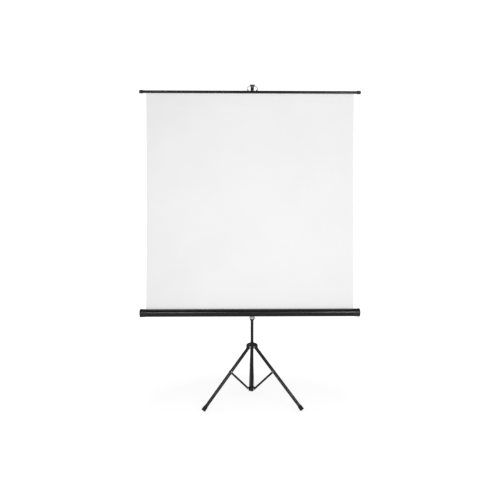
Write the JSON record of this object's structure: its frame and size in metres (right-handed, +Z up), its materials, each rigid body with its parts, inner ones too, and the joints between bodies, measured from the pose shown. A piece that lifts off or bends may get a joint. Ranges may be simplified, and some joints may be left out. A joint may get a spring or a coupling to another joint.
{
  "type": "tripod projector screen",
  "caption": "Free-standing projector screen: white fabric from a spring roller in a round black case, hooked to a pole on a folding tripod.",
  "frame": {"origin": "on the floor, under the middle of the object's box", "axes": "+Z up along the column, the screen faces -Y, +X to the right seen from the front"},
  "size_m": [1.655, 0.6469, 2.3904],
  "materials": {
    "black_tube": "satin black paint",
    "black_plastic": "fine moulded grain",
    "rubber": "matt",
    "silver": "satin casting",
    "steel": "bright zinc",
    "aluminium": "plain",
    "fabric": "matt white coated cloth"
  },
  "bodies": {
    "column": {"column_tube": "black_tube", "column_foot_plug": "black_plastic", "spider": "black_plastic", "spider_rivet_rear": "steel", "spider_rivet_left": "steel", "spider_rivet_right": "steel", "top_collar": "black_plastic"},
    "knob": {"lock_knob": "black_plastic", "lock_screw": "steel"},
    "hub": {"hub": "black_plastic", "hub_pin_rear": "steel", "hub_pin_left": "steel", "hub_pin_right": "steel"},
    "leg_rear": {"leg_plug_rear": "black_plastic", "leg_tube_rear": "black_tube", "leg_rivet_rear": "steel", "foot_rear": "rubber"},
    "leg_left": {"leg_plug_left": "black_plastic", "leg_tube_left": "black_tube", "leg_rivet_left": "steel", "foot_left": "rubber"},
    "leg_right": {"leg_plug_right": "black_plastic", "leg_tube_right": "black_tube", "leg_rivet_right": "steel", "foot_right": "rubber"},
    "brace_rear": {"brace_rear": "black_tube", "brace_rivet_rear": "steel"},
    "brace_left": {"brace_left": "black_tube", "brace_rivet_left": "steel"},
    "brace_right": {"brace_right": "black_tube", "brace_rivet_right": "steel"},
    "carriage": {"carriage": "black_plastic", "carry_handle": "black_plastic", "lock_sleeve": "silver", "case_saddle": "black_plastic", "pivot_bolt": "steel", "case_tube": "black_tube", "case_cap_left": "black_plastic", "case_cap_right": "black_plastic", "mandrel_rod": "steel", "spring_anchor": "black_plastic", "roller_spring": "steel", "screen_fabric": "fabric"},
    "screw": {"height_screw": "steel"},
    "roller": {"roller_tube": "aluminium", "roller_gudgeon": "black_plastic", "spring_plug": "black_plastic", "fabric_roll": "fabric"},
    "extension": {"extension_tube": "steel", "extension_plug": "black_plastic", "hook_head": "black_plastic"},
    "top_bar": {"top_bar_tube": "black_tube", "bar_cap_left": "black_plastic", "bar_cap_right": "black_plastic", "hem_rod": "steel", "bail_lug_left": "black_plastic", "bail_lug_right": "black_plastic"},
    "bail": {"bail": "steel"}
  },
  "joints": [
    {"name": "hub_slide", "type": "slide", "parent": "column", "child": "hub", "axis": [0, 0, 1], "range_m": [0, 0.12949]},
    {"name": "leg_rear_fold", "type": "hinge", "parent": "hub", "child": "leg_rear", "pos_m": [0.015, -0.07397, 0.4307], "axis": [1, 0, 0], "range_deg": [-42.7, 0]},
    {"name": "leg_left_fold", "type": "hinge", "parent": "hub", "child": "leg_left", "pos_m": [-0.00752, -0.11297, 0.4307], "axis": [-0.5, 0.866, 0], "range_deg": [-42.7, 0]},
    {"name": "leg_right_fold", "type": "hinge", "parent": "hub", "child": "leg_right", "pos_m": [0.03752, -0.11297, 0.4307], "axis": [-0.5, -0.866, 0], "range_deg": [-42.7, 0]},
    {"name": "brace_rear_fold", "type": "hinge", "parent": "leg_rear", "child": "brace_rear", "pos_m": [0.015, 0.08212, 0.26096], "axis": [1, 0, 0], "range_deg": [0, 90.2]},
    {"name": "brace_left_fold", "type": "hinge", "parent": "leg_left", "child": "brace_left", "pos_m": [-0.14269, -0.19101, 0.26096], "axis": [-0.5, 0.866, 0], "range_deg": [0, 90.2]},
    {"name": "brace_right_fold", "type": "hinge", "parent": "leg_right", "child": "brace_right", "pos_m": [0.17269, -0.19101, 0.26096], "axis": [-0.5, -0.866, 0], "range_deg": [0, 90.2]},
    {"name": "screen_height", "type": "slide", "parent": "column", "child": "carriage", "axis": [0, 0, 1], "range_m": [0, 0.27]},
    {"name": "height_screw_turn", "type": "hinge", "parent": "carriage", "child": "screw", "pos_m": [0.039, -0.09997, 0.6425], "axis": [1, 0, 0], "range_deg": [0, 270]},
    {"name": "extension_slide", "type": "slide", "parent": "carriage", "child": "extension", "axis": [0, 0, 1], "range_m": [-0.824, 0]},
    {"name": "top_bar_slide", "type": "slide", "parent": "carriage", "child": "top_bar", "axis": [0, 0, 1], "range_m": [-0.825, 0], "deforming": ["screen_fabric"]},
    {"name": "roller_spin", "type": "hinge", "parent": "carriage", "child": "roller", "pos_m": [0, -0.14997, 0.691], "axis": [1, 0, 0], "range_deg": [-3360, 0]},
    {"name": "bail_tilt", "type": "hinge", "parent": "top_bar", "child": "bail", "pos_m": [0.015, -0.13517, 2.3499], "axis": [1, 0, 0], "range_deg": [-4, 4]},
    {"name": "lock_knob_turn", "type": "hinge", "parent": "column", "child": "knob", "pos_m": [0.015, -0.07597, 1.4643], "axis": [0, 1, 0], "range_deg": [0, 270]}
  ],
  "couplings": [
    {"joint": "leg_rear_fold", "follows": "hub_slide", "rad_per_m": -5.7417},
    {"joint": "leg_left_fold", "follows": "hub_slide", "rad_per_m": -5.7417},
    {"joint": "leg_right_fold", "follows": "hub_slide", "rad_per_m": -5.7417},
    {"joint": "brace_rear_fold", "follows": "hub_slide", "rad_per_m": 12.14},
    {"joint": "brace_left_fold", "follows": "hub_slide", "rad_per_m": 12.14},
    {"joint": "brace_right_fold", "follows": "hub_slide", "rad_per_m": 12.14},
    {"joint": "top_bar_slide", "follows": "extension_slide", "ratio": 1},
    {"joint": "roller_spin", "follows": "extension_slide", "rad_per_m": 70.922}
  ]
}
